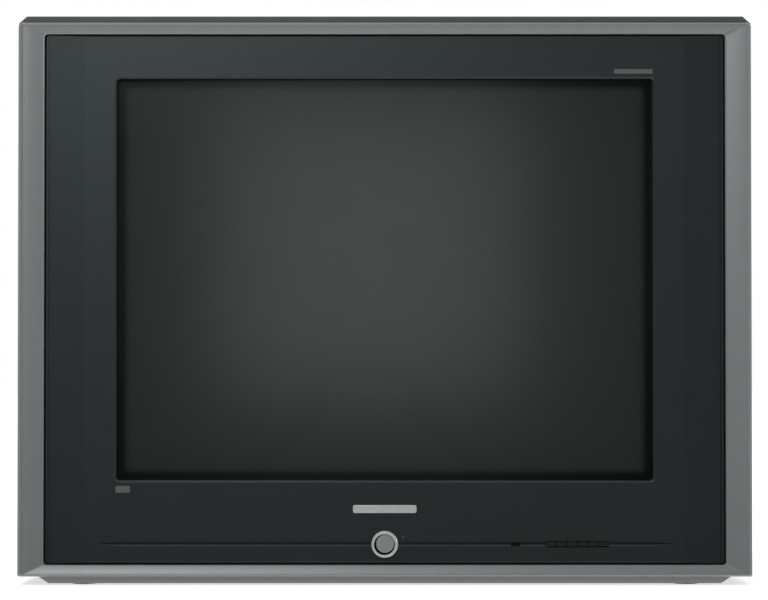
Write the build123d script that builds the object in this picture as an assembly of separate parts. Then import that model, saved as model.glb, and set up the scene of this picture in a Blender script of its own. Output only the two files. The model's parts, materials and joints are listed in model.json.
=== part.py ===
from build123d import *
from math import cos, radians, sin
import os

# Flat-faced colour television receiver with a 68 cm (29 inch class) picture tube, as separate pieces.
# Millimetres. X points to the viewer's right, the screen faces -Y and Z is up. The origin is on the floor,
# under the middle of the set.

# Whole set
SET_DEPTH = 500.0
FRONT_Y = -SET_DEPTH / 2
REAR_Y = SET_DEPTH / 2
SIDE_X = 370.0                # half of the overall width
TOP_Z = 574.0
FOOT_HEIGHT = 1.5
WALL = 3.0                    # wall of the plastic mouldings

# Picture tube
TUBE_Z = 307.6                # height of the tube's axis
SCREEN_HALF_W = 270.4         # visible screen, 540.8 x 405.4
SCREEN_HALF_H = 202.7
GLASS_Y = -234.0              # front of the faceplate
GLASS_HALF_W = 300.0
GLASS_HALF_H = 233.0
SEAL_Y = -141.0               # where the faceplate meets the funnel
NECK_FRONT_Y = 66.0
NECK_REAR_Y = 176.0
NECK_R = 14.55                # 29.1 mm neck
NECK_BORE_R = 12.7

# Front mouldings
TRIM_HALF_W = 369.7
TRIM_LOW_Z = 8.5
TRIM_HIGH_Z = 567.1
TRIM_SIDE_WIDTH = 26.5
TRIM_TOP_WIDTH = 12.0
TRIM_CROWN = 0.2              # where the face is furthest forward, as a share of the strip's width
TRIM_LAND = 0.94              # where the narrow flat land at the inner edge starts
TRIM_BACK_Y = -238.0
PANEL_Y = -246.0              # front face of the black panel
PANEL_GAP = 1.1               # dark gap between the silver frame and the panel
PANEL_BACK_Y = -232.0
PANEL_INSIDE_Y = -240.0       # back of the panel's front wall
FLANGE_BACK_Y = -228.0
COLLAR_WALL = 3.5             # wall round the screen opening
PANEL_POSTS = ((-318, 60), (-318, 300), (-318, 520), (318, 60), (318, 300), (318, 520), (-120, 546),
               (120, 546))    # where the panel is screwed to the front cabinet
BOARD_POSTS = ((-20, 33), (70, 50), (100, 33), (229.5, 50))
CREASE_X = 302.0              # vertical crease where the panel's sides start to slope back
PARTING_Y = -140.0            # joint between the front cabinet and the rear cover

# Controls, all on one line under the screen
CONTROL_Z = 41.2
POWER_RING_R = 13.5
POWER_WELL_R = 10.45          # opening in the ring, a little below and left of its middle
POWER_WELL_X = -0.3
POWER_WELL_Z = CONTROL_Z - 0.4
POWER_CAP_R = 9.0
POWER_CAP_X = 0.3             # the cap sits above and right of the ring's middle
POWER_CAP_Z = CONTROL_Z + 0.45
POWER_STEM_GAP = 0.35
POWER_STEM_R = 3.0
POWER_STEM_END_Y = -216.0
POWER_TRAVEL = 4.0
KEY_SLOT_X = 162.0
KEY_PITCH = 10.5
KEY_GAP = 0.4
KEY_HALF_HEIGHT = 1.9
KEY_NAMES = ("key_source", "key_menu", "key_volume_down", "key_volume_up", "key_channel_down",
             "key_channel_up")
IR_X = 131.5
LED_X = 18.4
LED_Z = 48.3
BOARD_Y = -226.0              # front of the control board
BOARD_THICKNESS = 1.6

# Tube fixing
EAR_X = 313.0
EAR_Z = 238.0                 # above and below the tube's axis
EAR_Y = -190.2
EAR_THICKNESS = 2.0
EAR_SCREW_R = 2.4

# Rear cover fixing
COVER_SCREW_X = 347.0
COVER_SCREW_SIDE_Z = (40.0, 205.0, 410.0, 536.0)
COVER_SCREW_TOP_X = (-150.0, 150.0)
COVER_SCREW_TOP_Z = 554.0
COVER_SCREW_R = 2.0
LEDGE_Y = -97.2               # flat seat of the rear cover's screws
BOSS_END_Y = -100.6

# Speakers, facing out of the cabinet's sides
SPEAKER_Y = -178.5
SPEAKER_Z = 306.0
SPEAKER_HALF_Y = 25.5
SPEAKER_HALF_Z = 66.0

# Magnet rings on the neck: front face of each ring
RING_THICKNESS = 2.4
RING_R = 24.0
SLEEVE_R = 16.6
RING_CLEARANCE = 0.05
RINGS = {
    "purity_ring_front": (100.0, 20.0),
    "purity_ring_rear": (102.8, -20.0),
    "four_pole_ring_front": (107.6, 55.0),
    "four_pole_ring_rear": (110.4, 10.0),
    "six_pole_ring_front": (115.2, -35.0),
    "six_pole_ring_rear": (118.0, -70.0),
}
SPACER_Y = (105.6, 113.2, 120.8)
SPACER_THICKNESS = 1.6
LOCK_RING_Y = 122.8
LOCK_RING_LENGTH = 6.0

# Main board and what stands on it
CHASSIS_HALF_W = 172.0
CHASSIS_FRONT_Y = -66.0
CHASSIS_REAR_Y = 234.0
FLOOR_Z = 8.0                 # underside of the chassis frame
BOARD_Z = 24.0
BOARD_TOP_Z = BOARD_Z + BOARD_THICKNESS
FLYBACK_X = 85.0
FLYBACK_Y = 52.0
FLYBACK_TOP_Z = 106.0
KNOB_Y = 84.0
KNOB_Z = {"focus_knob": 80.0, "screen_knob": 64.0}

# Terminals at the back
TERMINAL_Y = 231.0            # face that the jacks stand on, sunk behind the cover's windows
JACK_R = 4.15                 # phono jack, 8.3 mm across
JACK_SLEEVE_R = 3.4            # inside of the jack's metal sleeve
JACK_BORE_R = 1.7             # bore for the plug's pin
JACK_LENGTH = 9.5
JACK_X = (-132.0, -110.0, -88.0)
JACK_Z = (50.0, 74.0)
AERIAL_X = -20.0
AERIAL_Z = 52.0
AERIAL_R = 4.76               # 9.52 mm aerial barrel
AERIAL_LENGTH = 10.0
AERIAL_FLOOR = 1.5            # insulator that closes the barrel's inner end
TERMINAL_MARGIN = 14.0        # from a terminal's middle to the edge of its window in the cover
GLAND_X = 130.0
GLAND_Z = 36.0
GLAND_Y = 240.5               # floor of the gland's pocket
GLAND_POCKET = 16.5           # half the pocket's width
GLAND_BORE_R = 3.8
GLAND_WAIST_R = 6.8


# ---------------------------------------------------------------- helpers
def block(x0, x1, y0, y1, z0, z1):
    """Box between two corners."""
    return Pos((x0 + x1) / 2, (y0 + y1) / 2, (z0 + z1) / 2) * Box(x1 - x0, y1 - y0, z1 - z0)


def rod(x, z, r, y0, y1):
    """Round bar along Y."""
    return Pos(x, (y0 + y1) / 2, z) * Rot(90, 0, 0) * Cylinder(r, y1 - y0)


def pipe(x, z, r_out, r_in, y0, y1):
    """Round tube along Y."""
    return rod(x, z, r_out, y0, y1) - rod(x, z, r_in, y0 - 1, y1 + 1)


def post(x, y, r, z0, z1):
    """Round bar along Z."""
    return Pos(x, y, (z0 + z1) / 2) * Cylinder(r, z1 - z0)


def plane_at(y):
    """Plane across the set at depth y, with its own x along X and its own y along Z."""
    return Plane((0, y, 0), x_dir=(1, 0, 0), z_dir=(0, -1, 0))


def section(y, half_w, z_low, z_high, r_low, r_high):
    """Rounded rectangle across the set, with its own radius for the lower and the upper corners."""
    corners = [(-half_w, z_low), (half_w, z_low), (half_w, z_high), (-half_w, z_high)]
    outline = FilletPolyline(*corners, radius=(r_low, r_low, r_high, r_high), close=True)
    return plane_at(y) * make_face(outline)


def skinned(sections):
    """Ruled solid through sections across the set."""
    return loft([section(*values) for values in sections], ruled=True)


def tube_section(y, half_w, half_h, r):
    """Rounded rectangle round the tube's axis."""
    return (y, half_w, TUBE_Z - half_h, TUBE_Z + half_h, r, r)


def tube_skin(sections):
    """Ruled solid through rounded rectangles round the tube's axis."""
    return skinned([tube_section(*values) for values in sections])


def plate(y0, y1, half_w, z_low, z_high, r):
    """Plate with round corners and one thickness."""
    return skinned([(y0, half_w, z_low, z_high, r, r), (y1, half_w, z_low, z_high, r, r)])


def turned(points, x=0.0, z=TUBE_Z):
    """Solid of revolution about a line along Y, from (y, radius) points of half its section."""
    half_plane = Plane((x, 0, z), x_dir=(0, 1, 0), z_dir=(1, 0, 0))
    return revolve(half_plane * make_face(Polyline(*points, close=True)), Axis((x, 0, z), (0, 1, 0)))


def lead(points, radii, wire_r):
    """Round lead along straight runs joined by arcs."""
    path = FilletPolyline(*points, radius=radii)
    start = Plane(origin=path @ 0, z_dir=path % 0)
    return sweep(start * Circle(wire_r), path=path)


# ---------------------------------------------------------------- front mouldings
def trim_depth(share):
    """Depth of the silver frame's face, from its outer edge (0) over the crown to its inner edge (1)."""
    if share < TRIM_CROWN:
        return FRONT_Y + 5.0 * (1 - share / TRIM_CROWN) ** 2.5
    return FRONT_Y + 3.2 * min(1, (share - TRIM_CROWN) / (TRIM_LAND - TRIM_CROWN)) ** 1.3


def trim_ring(y, share, r_low, r_high):
    """Outline of the silver frame at a share of the way from its outer to its inner edge."""
    half_w = TRIM_HALF_W - TRIM_SIDE_WIDTH * share
    rise = TRIM_TOP_WIDTH * share
    return (y, half_w, TRIM_LOW_Z + rise, TRIM_HIGH_Z - rise, r_low, r_high)


def trim_frame():
    inner_r = 3.5
    outer = [trim_ring(TRIM_BACK_Y, 0, 2.5, 4.5)]
    for share in (0, 0.03, 0.07, 0.12, TRIM_CROWN):
        outer.append(trim_ring(trim_depth(share), share, 2.5 - 5 * share, 4.5 - 9 * share))
    inner = [trim_ring(y, 1, inner_r, inner_r) for y in (TRIM_BACK_Y + 1, trim_depth(1) + 0.6)]
    for share in (0.985, TRIM_LAND, 0.85, 0.7, 0.55, 0.4, TRIM_CROWN + 0.02):
        inner.append(trim_ring(trim_depth(share), share, inner_r * share, inner_r * share))
    edge = inner_r * (TRIM_CROWN + 0.02)
    inner.append(trim_ring(FRONT_Y - 1, TRIM_CROWN + 0.02, edge, edge))
    return skinned(outer) - skinned(inner)


def groove(x0, x1, pointed):
    """Shallow V-shaped groove that tapers out at its pointed end."""
    half = 2.1
    taper = 26.0
    mid_x = x1 - taper if pointed == "right" else x0 + taper
    far_x = x0 if pointed == "right" else x1
    tip_x = x1 if pointed == "right" else x0
    mouth = [(far_x, -half), (mid_x, -half), (tip_x, 0.3), (mid_x, half), (far_x, half)]
    floor = [(far_x, 0.6), (mid_x, 0.6), (mid_x + (tip_x - mid_x) / 3, 0.7), (mid_x, 0.9), (far_x, 0.9)]
    faces = []
    for y, points in ((PANEL_Y - 0.1, mouth), (PANEL_Y + 1.8, floor)):
        moved = [(x, CONTROL_Z + dz) for x, dz in points]
        faces.append(plane_at(y) * make_face(Polyline(*moved, close=True)))
    return loft(faces, ruled=True)


def bezel_panel():
    half_w = TRIM_HALF_W - TRIM_SIDE_WIDTH - PANEL_GAP
    low = TRIM_LOW_Z + TRIM_TOP_WIDTH + PANEL_GAP
    high = TRIM_HIGH_Z - TRIM_TOP_WIDTH - PANEL_GAP
    screen_low = TUBE_Z - SCREEN_HALF_H
    screen_high = TUBE_Z + SCREEN_HALF_H
    edge = 2.6
    outer = skinned([
        (PANEL_BACK_Y, half_w, low, high, 3, 3),
        (PANEL_Y + edge, half_w, low, high, 3, 3),
        (PANEL_Y + 1.2, half_w - 0.4, low + 0.4, high - 0.4, 2.8, 2.8),
        (PANEL_Y + 0.4, half_w - 1.2, low + 1.2, high - 1.2, 2.4, 2.4),
        (PANEL_Y, half_w - edge, low + edge, high - edge, 1.8, 1.8),
    ])
    opening = skinned([
        (PANEL_Y - 1, SCREEN_HALF_W + 2.8, screen_low - 2.8, screen_high + 2.8, 5, 5),
        (PANEL_Y + 1.8, SCREEN_HALF_W, screen_low, screen_high, 3.5, 3.5),
        (PANEL_BACK_Y + 1, SCREEN_HALF_W, screen_low, screen_high, 3.5, 3.5),
    ])
    hollow = plate(PANEL_INSIDE_Y, PANEL_BACK_Y + 1, half_w - WALL, low + WALL, high - WALL, 2)
    collar = plate(PANEL_INSIDE_Y - 1, GLASS_Y - 0.5, SCREEN_HALF_W + COLLAR_WALL, screen_low - COLLAR_WALL,
                   screen_high + COLLAR_WALL, 6)
    panel = outer - opening - (hollow - collar)
    slope = 2.2
    bead = half_w - 3.0
    far = half_w + 3
    for side in (-1, 1):
        wedge = [(CREASE_X, PANEL_Y), (bead, PANEL_Y + slope), (bead, PANEL_Y + 0.6), (far, PANEL_Y + 0.6),
                 (far, PANEL_Y - 4), (CREASE_X, PANEL_Y - 4)]
        outline = Polyline(*[(side * x, y) for x, y in wedge], close=True)
        panel -= extrude(Plane.XY * make_face(outline), amount=TOP_Z)
    panel -= groove(-292.0, -POWER_RING_R, "left")
    panel -= groove(POWER_RING_R, 294.0, "right")
    panel -= rod(0, CONTROL_Z, POWER_RING_R + 0.05, PANEL_Y - 3, PANEL_INSIDE_Y + 1)
    panel -= rod(LED_X, LED_Z, 1.35, PANEL_Y - 3, PANEL_INSIDE_Y + 1)
    panel -= block(IR_X - 4.5, IR_X + 4.5, PANEL_Y - 1, PANEL_INSIDE_Y + 1, CONTROL_Z - 2.2, CONTROL_Z + 2.2)
    key_end = KEY_SLOT_X + len(KEY_NAMES) * KEY_PITCH
    panel -= block(KEY_SLOT_X, key_end, PANEL_Y - 1, PANEL_INSIDE_Y + 1, CONTROL_Z - 3, CONTROL_Z + 3)
    for x, z in PANEL_POSTS:
        panel += rod(x, z, 4, PANEL_INSIDE_Y - 0.5, PANEL_BACK_Y)
    for x, z in BOARD_POSTS:
        panel += rod(x, z, 2.5, PANEL_INSIDE_Y - 0.5, BOARD_Y)
    return panel


def cabinet_outline(half_w, top, foot, ledge, inset):
    """Cross-section of the front cabinet: a box with a chamfered top and a narrower plinth below."""
    low = FOOT_HEIGHT + inset
    step = TRIM_LOW_Z + inset
    half = half_w - inset
    high = top - inset
    right = [(foot - inset, low), (ledge - inset, step), (half, step), (half, high - 7), (half - 8, high)]
    return right + [(-x, z) for x, z in reversed(right)]


def cabinet_skin(stations, inset):
    faces = []
    for y, half_w, top, foot, ledge in stations:
        points = cabinet_outline(half_w, top, foot, ledge, inset)
        faces.append(plane_at(y) * make_face(Polyline(*points, close=True)))
    return loft(faces, ruled=True)


def front_cabinet():
    straight_end = -152.0
    full = (SIDE_X, TOP_Z, 339.0, 349.5)
    rear = (366.0, 571.0, 350.0, 358.0)
    shell = cabinet_skin([(TRIM_BACK_Y,) + full, (straight_end,) + full, (PARTING_Y,) + rear], 0)
    hollow = cabinet_skin([(FLANGE_BACK_Y,) + full, (straight_end,) + full, (PARTING_Y,) + rear,
                           (PARTING_Y + 1,) + rear], WALL)
    opening_half = TRIM_HALF_W - TRIM_SIDE_WIDTH
    opening_low = TRIM_LOW_Z + TRIM_TOP_WIDTH
    opening_high = TRIM_HIGH_Z - TRIM_TOP_WIDTH
    recess = plate(TRIM_BACK_Y - 1, PANEL_BACK_Y, opening_half, opening_low, opening_high, 2)
    inner_wall = plate(TRIM_BACK_Y, FLANGE_BACK_Y + 2, opening_half + WALL, opening_low - WALL,
                       opening_high + WALL, 3)
    rim_hollow = cabinet_skin([(TRIM_BACK_Y + WALL,) + full, (FLANGE_BACK_Y + 1,) + full], WALL) - inner_wall
    tube_hole = plate(PANEL_BACK_Y - 1, FLANGE_BACK_Y + 1, GLASS_HALF_W + 1.5, TUBE_Z - GLASS_HALF_H - 1.5,
                      TUBE_Z + GLASS_HALF_H + 1.5, 33)
    control_hole = block(-28, 236, PANEL_BACK_Y - 1, FLANGE_BACK_Y + 1, CONTROL_Z - 15, CONTROL_Z + 17)
    cabinet = shell - hollow - recess - rim_hollow - tube_hole - control_hole
    for side in (-1, 1):
        for level in (-1, 1):
            boss = rod(side * EAR_X, TUBE_Z + level * EAR_Z, 9, FLANGE_BACK_Y - 0.5, EAR_Y - 0.1)
            cabinet += boss
            cabinet -= rod(side * EAR_X, TUBE_Z + level * EAR_Z, EAR_SCREW_R + 0.05, EAR_Y - 28, EAR_Y)
        for z in COVER_SCREW_SIDE_Z:
            reach = sorted((side * COVER_SCREW_X, side * (SIDE_X - 1.5)))
            cabinet += block(*reach, -176, straight_end, z - 1.5, z + 1.5)
            cabinet += rod(side * COVER_SCREW_X, z, 5, -176, BOSS_END_Y)
            cabinet -= rod(side * COVER_SCREW_X, z, COVER_SCREW_R + 0.05, -130, BOSS_END_Y + 1)
        reach = sorted((side * (SIDE_X - 6), side * (SIDE_X + 2)))
        for step in range(-9, 10):
            z = SPEAKER_Z + 6 * step
            cabinet -= block(*reach, SPEAKER_Y - 20, SPEAKER_Y + 20, z - 1.2, z + 1.2)
    for x in COVER_SCREW_TOP_X:
        cabinet += block(x - 1.5, x + 1.5, -176, straight_end, COVER_SCREW_TOP_Z, TOP_Z - 1.5)
        cabinet += rod(x, COVER_SCREW_TOP_Z, 5, -176, BOSS_END_Y)
        cabinet -= rod(x, COVER_SCREW_TOP_Z, COVER_SCREW_R + 0.05, -130, BOSS_END_Y + 1)
    return cabinet


def cover_stations():
    """Outer stations of the rear cover: depth, half width, bottom, top, lower and upper corner radius."""
    return [
        (PARTING_Y, 366, FOOT_HEIGHT, 571, 8, 8),
        (-98, 360, 4.5, 565, 8, 12),
        (-95, 340, 4.5, 547, 8, 20),
        (-20, 272, 4.5, 492, 8, 45),
        (55, 214, 4.5, 424, 8, 50),
        (115, 198, 4.5, 392, 8, 45),
        (REAR_Y - 6, 187, 4.5, 364, 8, 40),
        (REAR_Y, 181, 9, 358, 5, 34),
    ]


def vent_slots():
    """Cutters for the rows of cooling slots in the rear cover."""
    slots = []
    half = 2.0
    for column in range(-20, 21):
        x = 9.5 * column
        slots.append(block(x - half, x + half, -84, -32, 470, 580))
    for column in range(-11, 12):
        x = 9.5 * column
        slots.append(block(x - half, x + half, 62, 108, 370, 450))
        slots.append(block(x - half, x + half, REAR_Y - 8, REAR_Y + 1, 235, 300))
    for row in range(24):
        z = 130 + 12.0 * row
        for x0, x1 in ((-350, -262), (262, 350)):
            slots.append(block(x0, x1, -84, -44, z - half, z + half))
    for column in range(-9, 10):
        x = 14.0 * column
        slots.append(block(x - half, x + half, 20, 80, 3, 9))
    return slots


def window(xs, zs, margin, y0):
    """Cutter for a rectangular opening in the cover's back, from depth y0, round a group of terminals."""
    return block(xs[0] - margin, xs[-1] + margin, y0, REAR_Y + 1, zs[0] - margin, zs[-1] + margin)


def rear_cover():
    stations = cover_stations()
    outer = skinned(stations)
    inner = [(PARTING_Y - 1,) + stations[0][1:]] + stations[1:-1]
    inset = []
    for y, half_w, low, high, r_low, r_high in inner:
        shift = 0 if y < -100 else WALL
        inset.append((y - shift, half_w - WALL, low + WALL, high - WALL, r_low - 2, r_high - 2))
    inset.append((REAR_Y - WALL, 183, 8, 359, 5, 36))
    cover = outer - skinned(inset)
    cup = GLAND_POCKET + 2.5
    cover += block(GLAND_X - cup, GLAND_X + cup, GLAND_Y - 2.5, REAR_Y - 1, GLAND_Z - cup, GLAND_Z + cup)
    cover -= window((GLAND_X, GLAND_X), (GLAND_Z, GLAND_Z), GLAND_POCKET, GLAND_Y)
    cover -= rod(GLAND_X, GLAND_Z, GLAND_WAIST_R + 0.2, GLAND_Y - 4, GLAND_Y + 1)
    cover -= window(JACK_X, JACK_Z, TERMINAL_MARGIN, REAR_Y - 8)
    cover -= window((AERIAL_X, AERIAL_X), (AERIAL_Z, AERIAL_Z), TERMINAL_MARGIN, REAR_Y - 8)
    cover -= vent_slots()
    seats = [(side * COVER_SCREW_X, z) for side in (-1, 1) for z in COVER_SCREW_SIDE_Z]
    seats += [(x, COVER_SCREW_TOP_Z) for x in COVER_SCREW_TOP_X]
    for x, z in seats:
        cover -= rod(x, z, 5.0, LEDGE_Y, LEDGE_Y + 12)
        cover -= rod(x, z, COVER_SCREW_R + 0.3, LEDGE_Y - 8, LEDGE_Y + 1)
    return cover


def feet():
    pads = [post(x, y, 13, 0, FOOT_HEIGHT) for x in (-305, 305) for y in (-215, -165)]
    pads += [post(x, 205, 13, 0, 4.5) for x in (-140, 140)]
    return pads


def name_badge():
    width = 64.0
    height = 8.0
    thickness = 1.2
    return skinned([
        (PANEL_Y, width / 2, 76.5 - height / 2, 76.5 + height / 2, 2, 2),
        (PANEL_Y - thickness + 0.4, width / 2, 76.5 - height / 2, 76.5 + height / 2, 2, 2),
        (PANEL_Y - thickness, width / 2 - 0.4, 76.9 - height / 2, 76.1 + height / 2, 1.6, 1.6),
    ])


# ---------------------------------------------------------------- controls
def power_button_ring():
    """Ring whose opening is off its middle, so the gap round the cap is widest at the lower left."""
    ring = turned([(-249.0, 0), (-249.0, 11.0), (-249.6, 11.6), (-249.6, 12.3), (-249.2, 13.1),
                   (-248.4, POWER_RING_R), (PANEL_INSIDE_Y, POWER_RING_R), (PANEL_INSIDE_Y, 0)], 0, CONTROL_Z)
    return ring - rod(POWER_WELL_X, POWER_WELL_Z, POWER_WELL_R, -251, PANEL_INSIDE_Y + 1)


def power_button():
    front = -248.6
    back = -241.0
    return turned([(front, 0), (front, POWER_CAP_R - 0.7), (front + 0.25, POWER_CAP_R - 0.2),
                   (front + 0.8, POWER_CAP_R), (back, POWER_CAP_R), (back, POWER_STEM_R),
                   (POWER_STEM_END_Y, POWER_STEM_R), (POWER_STEM_END_Y, 0)], POWER_CAP_X, POWER_CAP_Z)


def power_switch():
    back = -194.0
    body = block(-11, 11, BOARD_Y + BOARD_THICKNESS, back, CONTROL_Z - 11, CONTROL_Z + 11)
    body -= rod(POWER_CAP_X, POWER_CAP_Z, POWER_STEM_R + POWER_STEM_GAP, BOARD_Y,
                POWER_STEM_END_Y + POWER_TRAVEL + 1.0)
    for x in (-6, 6):
        for z in (-4, 4):
            body += rod(x, CONTROL_Z + z, 1.0, back - 0.5, back + 6)
    return body


def key_span(index):
    """Left and right side of one key."""
    x0 = KEY_SLOT_X + KEY_PITCH * index + KEY_GAP / 2
    return x0, x0 + KEY_PITCH - KEY_GAP


def key(index):
    x0, x1 = key_span(index)
    middle = (x0 + x1) / 2
    cap = block(x0, x1, PANEL_Y - 0.9, -238.5, CONTROL_Z - KEY_HALF_HEIGHT, CONTROL_Z + KEY_HALF_HEIGHT)
    front_edges = cap.edges().group_by(Axis.Y)[0]
    cap = fillet(front_edges, 0.6)
    cap += block(x0, x1, PANEL_INSIDE_Y + 0.4, -238.4, CONTROL_Z - 5, CONTROL_Z + 5)
    cap += rod(middle, CONTROL_Z, 1.6, -238.5, -232.2)
    return cap


def ir_window():
    half = 4.4
    lens = block(IR_X - half, IR_X + half, PANEL_Y + 0.3, PANEL_INSIDE_Y, CONTROL_Z - 2.1, CONTROL_Z + 2.1)
    rim = half + 1.5
    lens += block(IR_X - rim, IR_X + rim, PANEL_INSIDE_Y, PANEL_INSIDE_Y + 1.5, CONTROL_Z - 4, CONTROL_Z + 4)
    return lens


def standby_led():
    guide = rod(LED_X, LED_Z, 1.3, PANEL_Y - 0.2, -231.0)
    guide += rod(LED_X, LED_Z, 2.2, PANEL_INSIDE_Y, PANEL_INSIDE_Y + 1.2)
    lamp = rod(LED_X, LED_Z, 2.0, -230.8, BOARD_Y)
    return [guide, lamp]


def control_board():
    top = CONTROL_Z + 15
    board = block(-26, 234, BOARD_Y, BOARD_Y + BOARD_THICKNESS, CONTROL_Z - 13, top)
    board -= rod(POWER_CAP_X, POWER_CAP_Z, 4.5, BOARD_Y - 1, BOARD_Y + 3)
    parts = [board]
    for index in range(len(KEY_NAMES)):
        middle = sum(key_span(index)) / 2
        parts.append(block(middle - 3, middle + 3, -229.5, BOARD_Y, CONTROL_Z - 3, CONTROL_Z + 3)
                     + rod(middle, CONTROL_Z, 1.7, -231.0, -229.0))
    parts.append(block(IR_X - 4, IR_X + 4, -231.5, BOARD_Y, CONTROL_Z - 5, CONTROL_Z + 5))
    return parts


# ---------------------------------------------------------------- picture tube
def crt_faceplate():
    outer = tube_skin([
        (SEAL_Y, 298, 231, 34),
        (GLASS_Y + 9, GLASS_HALF_W, GLASS_HALF_H, 32),
        (GLASS_Y + 3, 298.8, 231.8, 31),
        (GLASS_Y + 0.8, 296.5, 229.5, 29),
        (GLASS_Y, 293.5, 226.5, 27),
    ])
    inner = tube_skin([
        (SEAL_Y + 1, 289, 222, 28),
        (-214, 284, 217, 25),
        (GLASS_Y + 12.5, 277, 210, 20),
    ])
    return outer - inner


def funnel_stations(wall_share):
    """Stations of the funnel: the outside with a share of 0, the inside with a share of 1."""
    stations = [
        (SEAL_Y, 298, 231, 34, 9.0),
        (-125, 290, 222, 40, 8.5),
        (-90, 240, 180, 55, 7.5),
        (-50, 178, 134, 60, 6.0),
        (-15, 118, 92, 55, 5.0),
        (12, 70, 58, 45, 4.0),
        (35, 38, 34, 30, 3.5),
        (55, 20, 19, 17.5, 2.8),
        (NECK_FRONT_Y, 14.8, 14.8, 14.5, 2.1),
    ]
    result = []
    for y, half_w, half_h, r, wall in stations:
        inset = wall * wall_share
        result.append((y, half_w - inset, half_h - inset, r - inset))
    return result


def crt_funnel():
    inside = funnel_stations(1)
    inside[0] = (SEAL_Y - 0.5,) + inside[0][1:]
    inside[-1] = (NECK_FRONT_Y + 0.5,) + inside[-1][1:]
    return tube_skin(funnel_stations(0)) - tube_skin(inside)


def crt_neck():
    tube = pipe(0, TUBE_Z, NECK_R, NECK_BORE_R, NECK_FRONT_Y, NECK_REAR_Y - 3)
    return tube + rod(0, TUBE_Z, NECK_R, NECK_REAR_Y - 3, NECK_REAR_Y)


def pin_places():
    """Centres of the base pins, ten places of a circle of twelve."""
    pitch_circle_r = 7.62
    angles = [radians(30 * index) for index in range(10)]
    return [(pitch_circle_r * cos(angle), TUBE_Z + pitch_circle_r * sin(angle)) for angle in angles]


def crt_base():
    base = rod(0, TUBE_Z, 13.5, NECK_REAR_Y, NECK_REAR_Y + 5)
    base += rod(0, TUBE_Z, 3.8, NECK_REAR_Y + 4, NECK_REAR_Y + 12)
    for x, z in pin_places():
        base += rod(x, z, 0.5, NECK_REAR_Y + 4, NECK_REAR_Y + 14)
    return base


def implosion_band():
    outer = (GLASS_HALF_W + 1.6, GLASS_HALF_H + 1.6, 33.6)
    inner = (GLASS_HALF_W + 0.2, GLASS_HALF_H + 0.2, 32.2)
    y0 = -216
    y1 = -176
    inside = tube_skin([(y0 - 1,) + inner, (y1 + 1,) + inner])
    band = tube_skin([(y0,) + outer, (y1,) + outer]) - inside
    for side in (-1, 1):
        for level in (-1, 1):
            xs = sorted((side * 280, side * 327))
            zs = sorted((TUBE_Z + level * 212, TUBE_Z + level * 252))
            ear = block(*xs, EAR_Y, EAR_Y + EAR_THICKNESS, *zs) - inside
            ear -= rod(side * EAR_X, TUBE_Z + level * EAR_Z, 3.5, EAR_Y - 1, EAR_Y + 3)
            band += ear
    return band


def crt_screws():
    screws = []
    for side in (-1, 1):
        for level in (-1, 1):
            x = side * EAR_X
            z = TUBE_Z + level * EAR_Z
            seat = EAR_Y + EAR_THICKNESS
            hexagon = extrude(RegularPolygon(6, 6), amount=1.8, both=True)
            screw = Pos(x, seat + 3.2, z) * Rot(90, 0, 0) * hexagon
            screw += rod(x, z, 8.5, seat, seat + 1.5)
            screw += rod(x, z, EAR_SCREW_R, EAR_Y - 26, seat + 1)
            screws.append(screw)
    return screws


def shadow_mask():
    return tube_skin([(-210.0, 268, 202, 12), (-209.7, 268, 202, 12)])


def mask_frame():
    """Steel frame behind the mask, with four leaf springs that hook on studs in the glass."""
    outer = tube_skin([(-209.7, 276, 209, 16), (-184, 276, 209, 16)])
    web = tube_skin([(-208.1, 274.4, 207.4, 14.4), (-183, 274.4, 207.4, 14.4)])
    window = tube_skin([(-211, 262, 196, 8), (-183, 262, 196, 8)])
    frame = outer - web - window
    springs = []
    for side in (-1, 1):
        xs = sorted((side * 276.0, side * 279.0))
        springs.append(block(*xs, -200, -192, TUBE_Z - 40, TUBE_Z + 40))
        zs = sorted((TUBE_Z + side * 209.0, TUBE_Z + side * 212.0))
        springs.append(block(-40, 40, -200, -192, *zs))
    return [frame] + springs


def folded_sheet(stations):
    """Solid with flat sides through plain rectangles round the tube's axis."""
    faces = []
    for y, half_w, half_h in stations:
        corners = [(-half_w, TUBE_Z - half_h), (half_w, TUBE_Z - half_h),
                   (half_w, TUBE_Z + half_h), (-half_w, TUBE_Z + half_h)]
        faces.append(plane_at(y) * make_face(Polyline(*corners, close=True)))
    return loft(faces, ruled=True)


def inner_shield():
    """Folded steel shield inside the funnel, against the earth's field."""
    outer = [(-184, 266, 199), (-150, 256, 188), (-100, 200, 145)]
    wall = 1.0
    inner = [(y, half_w - wall, half_h - wall) for y, half_w, half_h in outer]
    inner[0] = (-184.5,) + inner[0][1:]
    inner[-1] = (-99.5,) + inner[-1][1:]
    return folded_sheet(outer) - folded_sheet(inner)


def electron_gun():
    """Three-beam gun: a stack of cups on two glass rods, with its leads to the stem."""
    gun = None
    for y0, y1, r in ((88, 112, 10.6), (114, 127, 10.6), (129, 132, 9.8), (134, 136, 9.8), (138, 150, 9.8)):
        cup = rod(0, TUBE_Z, r, y0, y1)
        gun = cup if gun is None else gun + cup
    for side in (-1, 1):
        xs = sorted((side * 9.0, side * 11.8))
        gun += block(*xs, 92, 158, TUBE_Z - 1.8, TUBE_Z + 1.8)
    for angle in (90, 210, 330):
        x = 6 * cos(radians(angle))
        z = TUBE_Z + 6 * sin(radians(angle))
        gun += rod(x, z, 0.6, 149, NECK_REAR_Y - 3)
    return gun


def anode_place():
    """Plane on top of the funnel that the anode cap sits on."""
    y = -66.0
    low_y, high_y = -90.0, -50.0
    low_h, high_h = 180.0, 134.0
    height = low_h + (high_h - low_h) * (y - low_y) / (high_y - low_y)
    normal = (0, low_h - high_h, high_y - low_y)
    return Plane((0, y, TUBE_Z + height), x_dir=(1, 0, 0), z_dir=normal)


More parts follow.
